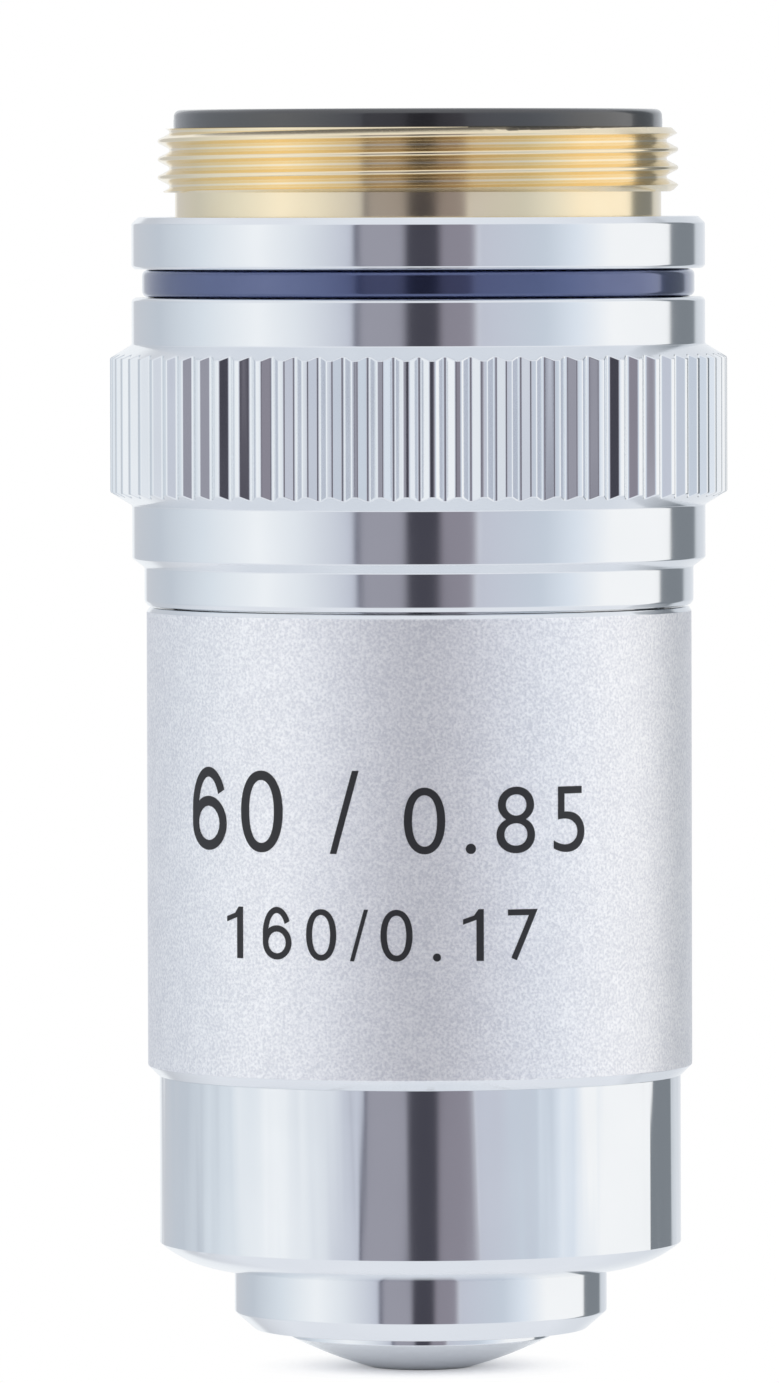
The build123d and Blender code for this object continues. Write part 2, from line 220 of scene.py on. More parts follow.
def arc(start: Point, end: Point, bulge: float, count: int) -> list[Point]:
    """List the points of an arc that stands out from its chord.

    Args:
        start: First point as (radius, height).
        end: Last point.
        bulge: Distance from the chord's middle to the arc, to the right of the way to end.
        count: Chords that the arc is divided into.

    Returns:
        The points from start to end, both included.
    """
    chord = Vector((end[0] - start[0], end[1] - start[1]))
    half = chord.length / 2
    radius = (half**2 + bulge**2) / (2 * bulge)
    outward = Vector((chord.y, -chord.x)).normalized()
    along = chord.normalized()
    centre = Vector(start) + chord / 2 + outward * (bulge - radius)
    sweep = 2 * math.asin(half / radius)
    points = []
    for index in range(count + 1):
        angle = sweep * (index / count - 0.5)
        place = centre + outward * (radius * math.cos(angle)) + along * (radius * math.sin(angle))
        points.append((place.x, place.y))
    return points


def oval(middle: Point, radii: Point, first: float, last: float, count: int) -> list[Point]:
    """List the points of a round or oval curve from its first angle to its last, in radians."""
    angles = [first + (last - first) * index / count for index in range(count + 1)]
    x, y = middle
    return [(x + radii[0] * math.cos(angle), y + radii[1] * math.sin(angle)) for angle in angles]


def apply_modifier(piece: Object, kind: str, **settings: object) -> None:
    """Add one modifier with its settings and apply it."""
    select_only(piece)
    modifier = piece.modifiers.new(kind.title(), kind)
    for name, value in settings.items():
        setattr(modifier, name, value)
    bpy.ops.object.modifier_apply(modifier=modifier.name)


def machine(piece: Object, tool: Object, overlap: Overlap) -> None:
    """Cut a piece with a closed tool and throw the tool away."""
    apply_modifier(piece, "BOOLEAN", operation=overlap.value, solver="EXACT", object=tool)
    bpy.data.objects.remove(tool)


def block(size: Sequence[float], centre: Sequence[float]) -> Object:
    """Make a plain bar that only serves as a cutter."""
    return add_shape("cube", size=1.0, scale=size, location=centre)


def break_edges(piece: Object, width: float, segments: int = 3) -> None:
    """Round the sharp edges of a piece, as deburring and plating leave them."""
    apply_modifier(
        piece,
        "BEVEL",
        width=width,
        segments=segments,
        limit_method="ANGLE",
        angle_limit=EDGE_ANGLE,
        miter_outer="MITER_ARC",
    )


def smooth(piece: Object) -> None:
    """Shade a piece smooth, with its large faces kept true."""
    select_only(piece)
    bpy.ops.object.shade_smooth_by_angle(angle=SMOOTH_ANGLE)
    apply_modifier(piece, "WEIGHTED_NORMAL", weight=50, keep_sharp=True)


def srgb(code: str) -> Colour:
    """Turn an sRGB hex colour to the linear one that shaders use."""
    channels = [int(code[i : i + 2], 16) / 255 for i in (1, 3, 5)]
    linear = [c / 12.92 if c <= 0.04045 else ((c + 0.055) / 1.055) ** 2.4 for c in channels]
    return (linear[0], linear[1], linear[2], 1.0)


def add_node(tree: NodeTree, kind: str, inputs: dict | None = None, **settings: object) -> Node:
    """Add one node.

    Args:
        tree: The node tree that it goes into.
        kind: The node's type name after ShaderNode.
        inputs: Socket name or number to a value, or to another node's output to link it.
        **settings: Attributes of the node itself.

    Returns:
        The new node.
    """
    node = tree.nodes.new(f"ShaderNode{kind}")
    for name, value in settings.items():
        setattr(node, name, value)
    for name, value in (inputs or {}).items():
        if isinstance(value, NodeSocket):
            tree.links.new(value, node.inputs[name])
        else:
            node.inputs[name].default_value = value
    return node


def set_ramp(node: Node, stops: Sequence[tuple[float, Colour]]) -> None:
    """Fill a colour ramp's stops from low to high."""
    elements = node.color_ramp.elements
    while len(elements) < len(stops):
        elements.new(1.0)
    for element, (position, colour) in zip(elements, stops):
        element.position = position
        element.color = colour


def per_mm(size: float) -> float:
    """Give the texture scale at which one pattern cell is size millimetres wide."""
    return 1.0 / (size * MM)


@dataclass(frozen=True)
class Finish(ABC):
    """One real surface, and the material that shows it. Its lengths are in millimetres."""

    name: str

    @abstractmethod
    def wire(self, add: AddNode, place: NodeSocket) -> dict:
        """Add the pattern's nodes.

        Args:
            add: Adds one node to the material's tree.
            place: Object coordinates, in metres.

        Returns:
            Inputs of the surface shader.
        """

    @cache
    def material(self) -> Material:
        """Make the material, once for all the pieces that share it."""
        material = bpy.data.materials.new(self.name)
        material.use_nodes = True
        material.node_tree.nodes.clear()
        add = partial(add_node, material.node_tree)
        place = add("TexCoord").outputs["Object"]
        surface = add("BsdfPrincipled", self.wire(add, place))
        add("OutputMaterial", {"Surface": surface.outputs["BSDF"]})
        return material


@dataclass(frozen=True)
class TurnedMetal(Finish):
    """Metal turned on a lathe: fine rings round the axis under a thin plate or lacquer."""

    colour: str
    tint: str
    roughness: float
    ring_pitch: float = 0.09  # real feed marks are about 0.03 mm, too fine to show
    ring_height: float = 0.0004
    ring_length: float = 6.0
    smudge: float = 4.0
    wear: tuple[float, float] = (0.8, 1.25)  # least and most of the roughness

    def wire(self, add: AddNode, place: NodeSocket) -> dict:
        """Add feed marks that run round the axis, and faint handling marks."""
        around = per_mm(self.ring_length)
        stretch = (around, around, per_mm(self.ring_pitch))
        feed = add("Mapping", {"Vector": place, "Scale": stretch})
        marks = add("TexNoise", {"Vector": feed.outputs[0], "Scale": 1.0})
        haze = add("TexNoise", {"Vector": place, "Scale": per_mm(self.smudge), "Detail": 4.0})
        colour = add(
            "Mix",
            {"Factor": haze.outputs["Fac"], "A": srgb(self.colour), "B": srgb(self.tint)},
            data_type="RGBA",
        )
        gloss = add(
            "MapRange",
            {
                "Value": haze.outputs["Fac"],
                "From Min": 0.3,
                "From Max": 0.7,
                "To Min": self.roughness * self.wear[0],
                "To Max": self.roughness * self.wear[1],
            },
        )
        bump = add("Bump", {"Height": marks.outputs["Fac"], "Distance": self.ring_height * MM})
        return {
            "Base Color": colour.outputs["Result"],
            "Metallic": 1.0,
            "Roughness": gloss.outputs["Result"],
            "Normal": bump.outputs["Normal"],
        }


@dataclass(frozen=True)
class BlastedMetal(Finish):
    """Metal blasted with fine beads before plating: a pale, even grain that glints."""

    colour: str
    shade: str
    roughness: float
    metal: float  # the rest scatters light as a matt surface does
    grain: float = 0.11  # real grains are about 0.05 mm, which the render can't hold
    grain_height: float = 0.012
    mottle: float = 1.3
    mottle_share: float = 0.12

    def wire(self, add: AddNode, place: NodeSocket) -> dict:
        """Add the blasted grain as bump, and the way that it shades the plate."""
        pits = add(
            "TexNoise",
            {"Vector": place, "Scale": per_mm(self.grain), "Detail": 3.0, "Roughness": 0.6},
        )
        mottle = add("TexNoise", {"Vector": place, "Scale": per_mm(self.mottle)})
        both = add(
            "Mix",
            {"Factor": self.mottle_share, "A": pits.outputs["Fac"], "B": mottle.outputs["Fac"]},
            data_type="FLOAT",
        )
        ramp = add("ValToRGB", {"Fac": both.outputs["Result"]})
        set_ramp(ramp, [(0.38, srgb(self.shade)), (0.62, srgb(self.colour))])
        bump = add("Bump", {"Height": pits.outputs["Fac"], "Distance": self.grain_height * MM})
        return {
            "Base Color": ramp.outputs["Color"],
            "Metallic": self.metal,
            "Roughness": self.roughness,
            "Normal": bump.outputs["Normal"],
        }


@dataclass(frozen=True)
class Coating(Finish):
    """Opaque dyed or painted layer over metal, with a slight cloudiness."""

    colour: str
    shade: str
    roughness: float
    cloud: float = 1.5
    texture: float = 0.08
    texture_height: float = 0.001
    index: float = 1.5
    flake: float = 0.0
    coat: float = 0.0
    coat_roughness: float = 0.08
    coat_index: float = 1.6

    def wire(self, add: AddNode, place: NodeSocket) -> dict:
        """Add the layer's clouding and its faint surface texture."""
        cloud = add("TexNoise", {"Vector": place, "Scale": per_mm(self.cloud), "Detail": 5.0})
        colour = add(
            "Mix",
            {"Factor": cloud.outputs["Fac"], "A": srgb(self.shade), "B": srgb(self.colour)},
            data_type="RGBA",
        )
        skin = add("TexNoise", {"Vector": place, "Scale": per_mm(self.texture)})
        bump = add("Bump", {"Height": skin.outputs["Fac"], "Distance": self.texture_height * MM})
        return {
            "Base Color": colour.outputs["Result"],
            "Metallic": self.flake,
            "Roughness": self.roughness,
            "IOR": self.index,
            "Normal": bump.outputs["Normal"],
            "Coat Weight": self.coat,
            "Coat Roughness": self.coat_roughness,
            "Coat IOR": self.coat_index,
        }


@dataclass(frozen=True)
class PolishedGlass(Finish):
    """Ground and polished optical glass with a thin anti-reflection coating."""

    colour: str
    index: float = 1.62
    film: float = 115.0  # nanometres of magnesium fluoride
    film_index: float = 1.38
    haze: float = 0.8
    haze_roughness: float = 0.03

    def wire(self, add: AddNode, place: NodeSocket) -> dict:
        """Add the faint cleaning haze that a polished lens keeps."""
        haze = add("TexNoise", {"Vector": place, "Scale": per_mm(self.haze), "Detail": 3.0})
        gloss = add("MapRange", {"Value": haze.outputs["Fac"], "To Max": self.haze_roughness})
        return {
            "Base Color": srgb(self.colour),
            "Roughness": gloss.outputs["Result"],
            "IOR": self.index,
            "Transmission Weight": 1.0,
            "Thin Film Thickness": self.film,
            "Thin Film IOR": self.film_index,
        }


# Bright chrome plate over turned brass: near-white, a touch blue, mirror sharp.
BRIGHT_CHROME = TurnedMetal("bright_chrome_plate", "#F5F7F9", "#EDF0F3", 0.1)
# Satin chrome over bead-blasted brass: pale grey with a fine glinting grain.
SATIN_CHROME = BlastedMetal("satin_chrome_plate", "#FAFAFB", "#DDDEE3", 0.44, 0.78)
# Polished brass under clear lacquer: warm pale gold, deeper where it reflects itself.
LACQUERED_BRASS = TurnedMetal("lacquered_brass", "#FFF1D2", "#FBE8C2", 0.14, smudge=3.0)
# Sulphuric anodised aluminium dyed black: nearly black with a soft grey sheen.
BLACK_ANODISED = Coating(
    "black_anodised_aluminium",
    "#1A1A1C",
    "#121214",
    0.24,
    texture_height=0.0015,
    index=1.75,
    coat=0.7,
)
# Stoved blue enamel with fine metal flake: black where nothing lights it, blue where it shines.
BLUE_ENAMEL = Coating(
    "blue_flake_enamel", "#5F6A92", "#525D86", 0.14, flake=0.97, coat=0.8, texture_height=0.0005
)
# Chemically blackened brass inside the tube: dead black with a brown cast.
BLACKENED_BRASS = Coating("blackened_brass", "#221E1A", "#15120F", 0.45, texture_height=0.003)
# Drawn spring wire: grey steel with a soft shine.
SPRING_WIRE = TurnedMetal("drawn_spring_steel", "#A9AAAD", "#97989C", 0.28, ring_pitch=0.2)
# Printed black figures: a thin dull ink film.
PRINTING_INK = Coating("black_printing_ink", "#1E1E22", "#17171A", 0.55, cloud=0.6)
# Crown and flint glass with a blue-violet bloom.
OPTICAL_GLASS = PolishedGlass("coated_optical_glass", "#F7FAFA")

SLOT_FINISHES = {
    Slot.BLACK_ANODISED: BLACK_ANODISED,
    Slot.BRASS: LACQUERED_BRASS,
    Slot.BRIGHT_CHROME: BRIGHT_CHROME,
    Slot.SATIN_CHROME: SATIN_CHROME,
    Slot.BLUE_ENAMEL: BLUE_ENAMEL,
    Slot.BLACKENED_BRASS: BLACKENED_BRASS,
    Slot.SPRING_STEEL: SPRING_WIRE,
    Slot.OPTICAL_GLASS: OPTICAL_GLASS,
}


def dress_nodes() -> None:
    """Give every CAD node the material of its record slot."""
    for subpart in frame["record"]["subparts"]:
        materials = frame["nodes"][subpart["node"]].data.materials
        materials.clear()
        materials.append(SLOT_FINISHES[Slot(subpart["material_slot"])].material())


def hand_over(
    piece: Object,
    body: Body,
    slot: Slot,
    replaces: str | None = None,
    finishes: Sequence[Finish] = (),
) -> Object:
    """Turn a finished piece to metres, dress it and hang it on the empty of its body.

    Args:
        piece: The piece, modelled in millimetres.
        body: The CAD body that it rides on.
        slot: The record's slot that its finish belongs to.
        replaces: The CAD node that it stands for, if any.
        finishes: Other finishes than the slot's own, in the order of the mesh's material numbers.

    Returns:
        The same piece.
    """
    smooth(piece)
    piece.scale = (MM, MM, MM)
    bpy.ops.object.transform_apply()
    for finish in finishes or [SLOT_FINISHES[slot]]:
        piece.data.materials.append(finish.material())
    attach(piece, body.value)
    if replaces:
        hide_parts(replaces)
    log.info("%s: %d faces", piece.name, len(piece.data.polygons))
    return piece


class SubAssembly(ABC):
    """Pieces that are made together."""

    @abstractmethod
    def build(self) -> None:
        """Model the pieces and hand them over."""


@dataclass
class RearMount(SubAssembly):
    """Threaded brass bush, and the black baffle ring screwed into its back."""

    bush: Span = Span.of("thread_bush")
    baffle: Span = Span.of("rear_baffle")
    pitch: float = 25.4 / 36  # the society thread has 36 turns an inch
    thread_depth: float = 0.452
    rounding: float = 0.097
    flank_angle: float = math.radians(27.5)
    crest_height: float = 2.59  # of one turn's crest where it crosses +X
    thread_bottom: float = 0.95
    lead_in: float = 0.25
    neck_step: float = 0.67
    wall: float = 1.85
    socket_wall: float = 1.13
    baffle_wall: float = 0.9
    fit: float = 0.02
    round_edge: float = 0.25
    slot_width: float = 1.3
    slot_depth: float = 0.35
    thread_steps: int = 128
    edge_break: float = 0.04

    @property
    def crest_r(self) -> float:
        """Radius over the thread's crests."""
        return self.bush.radius

    @property
    def neck_r(self) -> float:
        """Radius of the plain neck under the thread."""
        return self.crest_r - self.neck_step

    @property
    def spigot_r(self) -> float:
        """Radius of the baffle's spigot inside the bush."""
        return self.neck_r - self.socket_wall - self.fit

    def thread_form(self) -> list[Point]:
        """List one pitch of the rounded thread form, from crest to crest."""
        middle = (self.crest_r - self.rounding, 0.0)
        end_angle = math.pi / 2 - self.flank_angle
        crest = oval(middle, (self.rounding, self.rounding), 0.0, end_angle, 3)
        root = [
            (2 * self.crest_r - self.thread_depth - radius, self.pitch / 2 - height)
            for radius, height in reversed(crest)
        ]
        falling = crest + root
        rising = [(radius, self.pitch - height) for radius, height in reversed(falling[:-1])]
        return falling + rising

    def threaded_bar(self) -> Object:
        """Screw the thread form into a bar that covers the bush from end to end."""
        margin = 0.3
        low, high = self.thread_bottom - margin, self.bush.top + margin
        turns = math.ceil((high - low) / self.pitch) + 2
        below = math.ceil((self.crest_height - low) / self.pitch + 1)
        start = self.crest_height - self.pitch * below
        form = [Vector((radius, 0.0, start + height)) for radius, height in self.thread_form()]
        bar = draw("threaded_bar", form, closed=False)
        apply_modifier(
            bar,
            "SCREW",
            axis="Z",
            angle=math.tau,
            screw_offset=self.pitch,
            iterations=turns,
            steps=self.thread_steps,
            render_steps=self.thread_steps,
            use_merge_vertices=True,
            merge_threshold=MERGE_DISTANCE,
        )
        with editing(bar):
            merge_doubles()
            face_outwards()
            saw_off(high, keep_above=False)
            saw_off(low, keep_above=True)
            bpy.ops.mesh.extrude_region_move(
                TRANSFORM_OT_translate={"value": (0, 0, self.bush.bottom - low - margin)}
            )
            face_outwards()
        return bar

    def make_bush(self) -> Object:
        """Turn the bush and cut its thread."""
        proud = 0.06  # the blank stands this far over the crests before the thread is cut
        edge = 0.2
        socket_r = self.spigot_r + self.fit
        socket_z = self.baffle.bottom
        bore_r = self.neck_r - self.wall
        chamfer = self.lead_in + proud
        bush = turn(
            "thread_bush_turned",
            [
                (bore_r, self.bush.bottom),
                (self.neck_r - edge, self.bush.bottom),
                (self.neck_r, self.bush.bottom + edge),
                (self.neck_r, self.thread_bottom),
                (self.crest_r - self.lead_in, self.thread_bottom),
                (self.crest_r + proud, self.thread_bottom + chamfer),
                (self.crest_r + proud, self.bush.top - chamfer),
                (self.crest_r - self.lead_in, self.bush.top),
                (socket_r, self.bush.top),
                (socket_r, socket_z),
                (bore_r, socket_z),
            ],
        )
        machine(bush, self.threaded_bar(), Overlap.KEEP)
        return bush

    def make_baffle(self) -> Object:
        """Turn the baffle ring and mill its two spanner slots."""
        bore_r = self.spigot_r - self.baffle_wall
        outer_r = self.baffle.radius
        corner = arc(
            (outer_r, self.baffle.top - self.round_edge),
            (outer_r - self.round_edge, self.baffle.top),
            self.round_edge * (1 - math.sqrt(0.5)),
            CORNER_STEPS,
        )
        ring = turn(
            "rear_baffle_turned",
            [
                (bore_r, self.baffle.bottom),
                (self.spigot_r, self.baffle.bottom),
                (self.spigot_r, self.bush.top),
                (outer_r, self.bush.top),
                *corner,
                (bore_r, self.baffle.top),
            ],
        )
        slot = block(
            (4 * outer_r, self.slot_width, 2 * self.slot_depth), (0.0, 0.0, self.baffle.top)
        )
        machine(ring, slot, Overlap.REMOVE)
        break_edges(ring, self.edge_break, segments=2)
        return ring

    def build(self) -> None:
        """Make and hand over the bush and the baffle."""
        hand_over(self.make_bush(), Body.HOUSING, Slot.BRASS, "thread_bush")
        hand_over(self.make_baffle(), Body.HOUSING, Slot.BLACK_ANODISED, "rear_baffle")


@dataclass
class Grip(SubAssembly):
    """Chromed grip body with its fluted band, and the enamelled ring in its groove."""

    body_r: float = 11.15
    crest_r: float = 12.0
    flange_edge: float = 0.27
    seat_relief_r: float = 10.2
    seat_relief_depth: float = 0.1
    groove_depth: float = 0.9
    groove_top: float = -2.02
    groove_bottom: float = -3.13
    groove_lip: float = 0.12
    flute_top: float = -4.95
    flute_bottom: float = -11.2
    flute_taper: float = 0.52
    flute_count: int = 76
    flute_depth: float = 0.25
    flute_root: float = 0.12
    flute_crest: float = 0.25
    band_bottom: float = -13.25
    band_taper: float = 0.35
    ring_r: float = 10.68
    joint: float = -15.09  # leaves the fine dark line of a screwed joint over the sleeve
    joint_width: float = 0.19
    joint_depth: float = 0.12
    spigot_r: float = 9.55
    bush_seat_r: float = 9.47
    chamber_r: float = 8.75
    chamber_top: float = -4.6
    bottom: float = Span.of("grip_body").bottom
    enamel: Span = Span.of("colour_ring")
    enamel_edge: float = 0.24
    fit: float = 0.02
    edge_break: float = 0.045
    enamel_break: float = 0.03

    def fluted_bar(self) -> Object:
        """Make a bar whose side has all the flutes, each an open V with a narrow floor."""
        margin = 1.0
        pitch = math.tau / self.flute_count
        half_root = self.flute_root / 2
        half_mouth = (self.crest_r * pitch - self.flute_crest) / 2
        slope = (half_mouth - half_root) / self.flute_depth
        root_r = self.crest_r - self.flute_depth
        peak_r = root_r + (self.crest_r * pitch / 2 - half_root) / slope
        low = self.bottom - margin
        corners = [
            Vector((radius * math.cos(angle), radius * math.sin(angle), low))
            for centre in (index * pitch for index in range(self.flute_count))
            for radius, angle in (
                (root_r, centre - half_root / root_r),
                (root_r, centre + half_root / root_r),
                (peak_r, centre + pitch / 2),
            )
        ]
        bar = draw("fluted_bar", corners, closed=True)
        with editing(bar):
            bpy.ops.mesh.edge_face_add()
            bpy.ops.mesh.extrude_region_move(TRANSFORM_OT_translate={"value": (0, 0, margin - low)})
            face_outwards()
        return bar

    def make_body(self) -> Object:
        """Turn the grip body and cut its flutes."""
        relief_z = -self.seat_relief_depth
        joint_r = self.ring_r - self.joint_depth
        body = turn(
            "grip_body_turned",
            [
                (self.bush_seat_r, relief_z),
                (self.seat_relief_r, relief_z),
                (self.seat_relief_r, 0.0),
                (self.body_r - self.flange_edge, 0.0),
                (self.body_r, -self.flange_edge),
                (self.body_r, self.groove_top + self.groove_lip),
                (self.body_r - self.groove_lip, self.groove_top),
                (self.body_r - self.groove_depth, self.groove_top),
                (self.body_r - self.groove_depth, self.groove_bottom),
                (self.body_r - self.groove_lip, self.groove_bottom),
                (self.body_r, self.groove_bottom - self.groove_lip),
                (self.body_r, self.flute_top),
                (self.crest_r, self.flute_top - self.flute_taper),
                (self.crest_r, self.flute_bottom + self.flute_taper),
                (self.body_r, self.flute_bottom),
                (self.body_r, self.band_bottom),
                (self.ring_r, self.band_bottom - self.band_taper),
                (self.ring_r, self.joint + self.joint_width),
                (joint_r, self.joint),
                (self.spigot_r, self.joint),
                (self.spigot_r, self.bottom),
                (self.chamber_r, self.bottom),
                (self.chamber_r, self.chamber_top),
                (self.bush_seat_r, self.chamber_top),
            ],
            steps=4 * self.flute_count,
        )
        machine(body, self.fluted_bar(), Overlap.KEEP)
        break_edges(body, self.edge_break)
        return body

    def make_ring(self) -> Object:
        """Turn the enamel ring with its rounded edges."""
        inner_r = self.body_r - self.groove_depth + self.fit
        outer_r, edge = self.enamel.radius, self.enamel_edge
        low, high = self.enamel.bottom, self.enamel.top
        bulge = edge * (1 - math.sqrt(0.5))  # of a quarter circle
        outline = [
            *arc((outer_r - edge, low), (outer_r, low + edge), bulge, CORNER_STEPS),
            *arc((outer_r, high - edge), (outer_r - edge, high), bulge, CORNER_STEPS),
            (inner_r, high),
            (inner_r, low),
        ]
        ring = turn("colour_ring_turned", outline)
        break_edges(ring, self.enamel_break, segments=2)
        return ring

    def build(self) -> None:
        """Make and hand over the grip body and the colour ring."""
        hand_over(self.make_body(), Body.HOUSING, Slot.BRIGHT_CHROME, "grip_body")
        hand_over(self.make_ring(), Body.HOUSING, Slot.BLUE_ENAMEL, "colour_ring")


@dataclass(frozen=True)
class FigureLine:
    """One line of plain numbers that runs round the barrel."""

    name: str
    baseline: float
    glyphs: str
    bearings: tuple[float, ...]  # degrees from the front to each figure's middle, to the right
    heights: tuple[float, ...]


@dataclass
class Barrel(SubAssembly):
    """Satin barrel sleeve and the plain numbers printed on it."""

    sleeve: Span = Span.of("barrel_sleeve")
    wall: float = 1.03
    bottom_edge: float = 0.42
    joint_width: float = 0.19
    joint_depth: float = 0.12
    edge_break: float = 0.04
    ink_thickness: float = 0.04  # half of it stands on the barrel
    glyph_height: float = 0.7  # of a figure, in the built-in font's own units
    ink_thinning: float = 0.007  # taken off each side of a built-in figure's strokes, same units
    six_half_width: float = 0.315
    six_stroke: float = 0.118
    six_bowl: float = 0.325  # height of the bowl's middle
    six_tail: float = 28.0  # degrees above level at which the tail ends
    strip: float = 0.2
    lines: tuple[FigureLine, ...] = (
        FigureLine(
            "numbers_upper",
            -24.3,
            "60/0.85",
            (-49.9, -35.0, -15.9, 0.9, 10.5, 20.2, 32.6),
            (3.2, 3.2, 3.25, 2.6, 2.6, 2.6, 2.6),
        ),
        FigureLine(
            "numbers_lower",
            -28.4,
            "160/0.17",
            (-42.1, -31.2, -21.0, -12.8, -4.95, 3.4, 11.0, 21.7),
            (2.02,) * 8,
        ),
    )
    one: tuple[Point, ...] = (
        (0.0, 0.0),
        (0.0, 0.98),
        (-0.1, 0.98),
        (-0.19, 0.86),
        (-0.4, 0.79),
        (-0.4, 0.69),
        (-0.14, 0.78),
        (-0.14, 0.0),
    )

    def make_sleeve(self) -> Object:
        """Turn the sleeve, with its front chamfer and joint chamfer left to the second finish."""
        tolerance = 0.01  # faces that lie no deeper than this are satin
        outer_r = self.sleeve.radius
        bore_r = outer_r - self.wall
        sleeve = turn(
            "barrel_sleeve_turned",
            [
                (bore_r, self.sleeve.bottom),
                (outer_r - self.bottom_edge, self.sleeve.bottom),
                (outer_r, self.sleeve.bottom + self.bottom_edge),
                (outer_r, self.sleeve.top - self.joint_width),
                (outer_r - self.joint_depth, self.sleeve.top),
                (bore_r, self.sleeve.top),
            ],
        )
        break_edges(sleeve, self.edge_break)
        for face in sleeve.data.polygons:
            depth = outer_r - math.hypot(face.center.x, face.center.y)
            face.material_index = 0 if depth < tolerance else 1
        return sleeve

    def six(self) -> tuple[list[Point], list[Point]]:
        """Outline a round-tailed 6 of height 1, and the eye of its bowl."""
        stroke, end = self.six_stroke, math.radians(self.six_tail)
        wide, narrow = self.six_half_width, self.six_half_width - self.six_stroke
        low, high = self.six_bowl, 0.5  # heights of the bowl's middle and the tail's
        meeting = math.acos(-narrow / wide)
        tail = math.pi - math.asin((low + low * math.sin(meeting) - high) / (high - stroke))
        count = 20
        outline = [
            *oval((0.0, high), (wide, high), end, math.pi, count),
            *oval((0.0, low), (wide, low), math.pi, math.tau, count),
            *oval((0.0, low), (wide, low), 0.0, meeting, count)[1:],
            *oval((0.0, high), (narrow, high - stroke), tail, end, count)[1:],
        ]
        return outline, oval((0.0, low), (narrow, low - stroke), 0.0, math.tau, count)[:-1]

    def make_figure(self, glyph: str, bearing: float, height: float) -> Object:
        """Lay one figure out flat, its middle at its bearing's arc length."""
        drawn = {"1": (self.one,), "6": self.six()}
        if glyph in drawn:
            chains = [
                draw("figure", [Vector((x, y, 0.0)) for x, y in outline], closed=True)
                for outline in drawn[glyph]
            ]
            for chain in chains:
                chain.select_set(True)
            bpy.ops.object.join()
            flat = bpy.context.object
            with editing(flat):
                bpy.ops.mesh.fill()
            scale = height
        else:
            bpy.ops.object.select_all(action="DESELECT")
            bpy.ops.object.text_add()
            text = bpy.context.object.data
            text.body = glyph
            text.resolution_u = 12
            text.offset = -self.ink_thinning
            bpy.ops.object.convert(target="MESH")
            flat = bpy.context.object
            scale = height / self.glyph_height
        flat.scale = (scale, scale, scale)
        bpy.ops.object.transform_apply()
        across = [vertex.co.x for vertex in flat.data.vertices]
        middle = (min(across) + max(across)) / 2
        arc_length = math.radians(bearing) * self.sleeve.radius
        with editing(flat):
            bpy.ops.transform.translate(value=(arc_length - middle, 0.0, 0.0))
        return flat

    def make_line(self, line: FigureLine) -> Object:
        """Lay out one line of figures, cut it into narrow strips and wrap it on the sleeve."""
        figures = zip(line.glyphs, line.bearings, line.heights)
        flats = [self.make_figure(*figure) for figure in figures]
        bpy.ops.object.select_all(action="DESELECT")
        for flat in flats:
            flat.select_set(True)
        bpy.context.view_layer.objects.active = flats[0]
        bpy.ops.object.join()
        text = bpy.context.object
        text.name = line.name
        across = [vertex.co.x for vertex in text.data.vertices]
        with editing(text):
            merge_doubles()
            for index in range(int((max(across) - min(across)) / self.strip)):
                bpy.ops.mesh.select_all(action="SELECT")
                bpy.ops.mesh.bisect(
                    plane_co=(min(across) + (index + 1) * self.strip, 0, 0), plane_no=(1, 0, 0)
                )
        radius = self.sleeve.radius
        for vertex in text.data.vertices:
            angle = vertex.co.x / radius
            height = line.baseline + vertex.co.y
            vertex.co = (radius * math.sin(angle), -radius * math.cos(angle), height)
        apply_modifier(text, "SOLIDIFY", thickness=self.ink_thickness, offset=0.0)
        with editing(text):
            face_outwards()
        return text

    def build(self) -> None:
        """Make and hand over the sleeve and its numbers."""
        finishes = [SATIN_CHROME, BRIGHT_CHROME]
        hand_over(self.make_sleeve(), Body.HOUSING, Slot.SATIN_CHROME, "barrel_sleeve", finishes)
        for line in self.lines:
            text = self.make_line(line)
            hand_over(text, Body.HOUSING, Slot.BLACK_ANODISED, finishes=[PRINTING_INK])


@dataclass
class FrontCollar(SubAssembly):
    """Chromed collar that guides the nose."""

    collar: Span = Span.of("front_collar")
    joint: float = Span.of("barrel_sleeve").bottom
    nose_r: float = Span.of("nose_barrel").radius
    slide: float = 0.05
    spigot_r: float = 9.55
    face_width: float = 0.6
    round_height: float = 0.98
    round_bulge: float = 0.19
    relief: float = 0.3
    relief_bottom: float = -38.08
    relief_top: float = -34.2
    screw_z: float = -31.4
    screw_hole_r: float = 0.82
    edge_break: float = 0.05

    def make_collar(self) -> Object:
        """Turn the collar and drill its screw hole."""
        guide_r = self.nose_r + self.slide
        relief_r = guide_r + self.relief
        nose_edge = arc(
            (guide_r + self.face_width, self.collar.bottom),
            (self.collar.radius, self.collar.bottom + self.round_height),
            self.round_bulge,
            CURVE_STEPS,
        )
        collar = turn(
            "front_collar_turned",
            [
                *nose_edge,
                (self.collar.radius, self.joint),
                (self.spigot_r, self.joint),
                (self.spigot_r, self.collar.top),
                (guide_r, self.collar.top),
                (guide_r, self.relief_top),
                (relief_r, self.relief_top),
                (relief_r, self.relief_bottom),
                (guide_r, self.relief_bottom),
                (guide_r, self.collar.bottom),
            ],
        )
        drill = add_shape(
            "cylinder",
            vertices=32,
            radius=self.screw_hole_r,
            depth=self.spigot_r,
            location=(0.0, self.spigot_r, self.screw_z),
            rotation=(math.pi / 2, 0.0, 0.0),
        )
        machine(collar, drill, Overlap.REMOVE)
        break_edges(collar, self.edge_break)
        return collar

    def build(self) -> None:
        """Make and hand over the collar."""
        hand_over(self.make_collar(), Body.HOUSING, Slot.BRIGHT_CHROME, "front_collar")


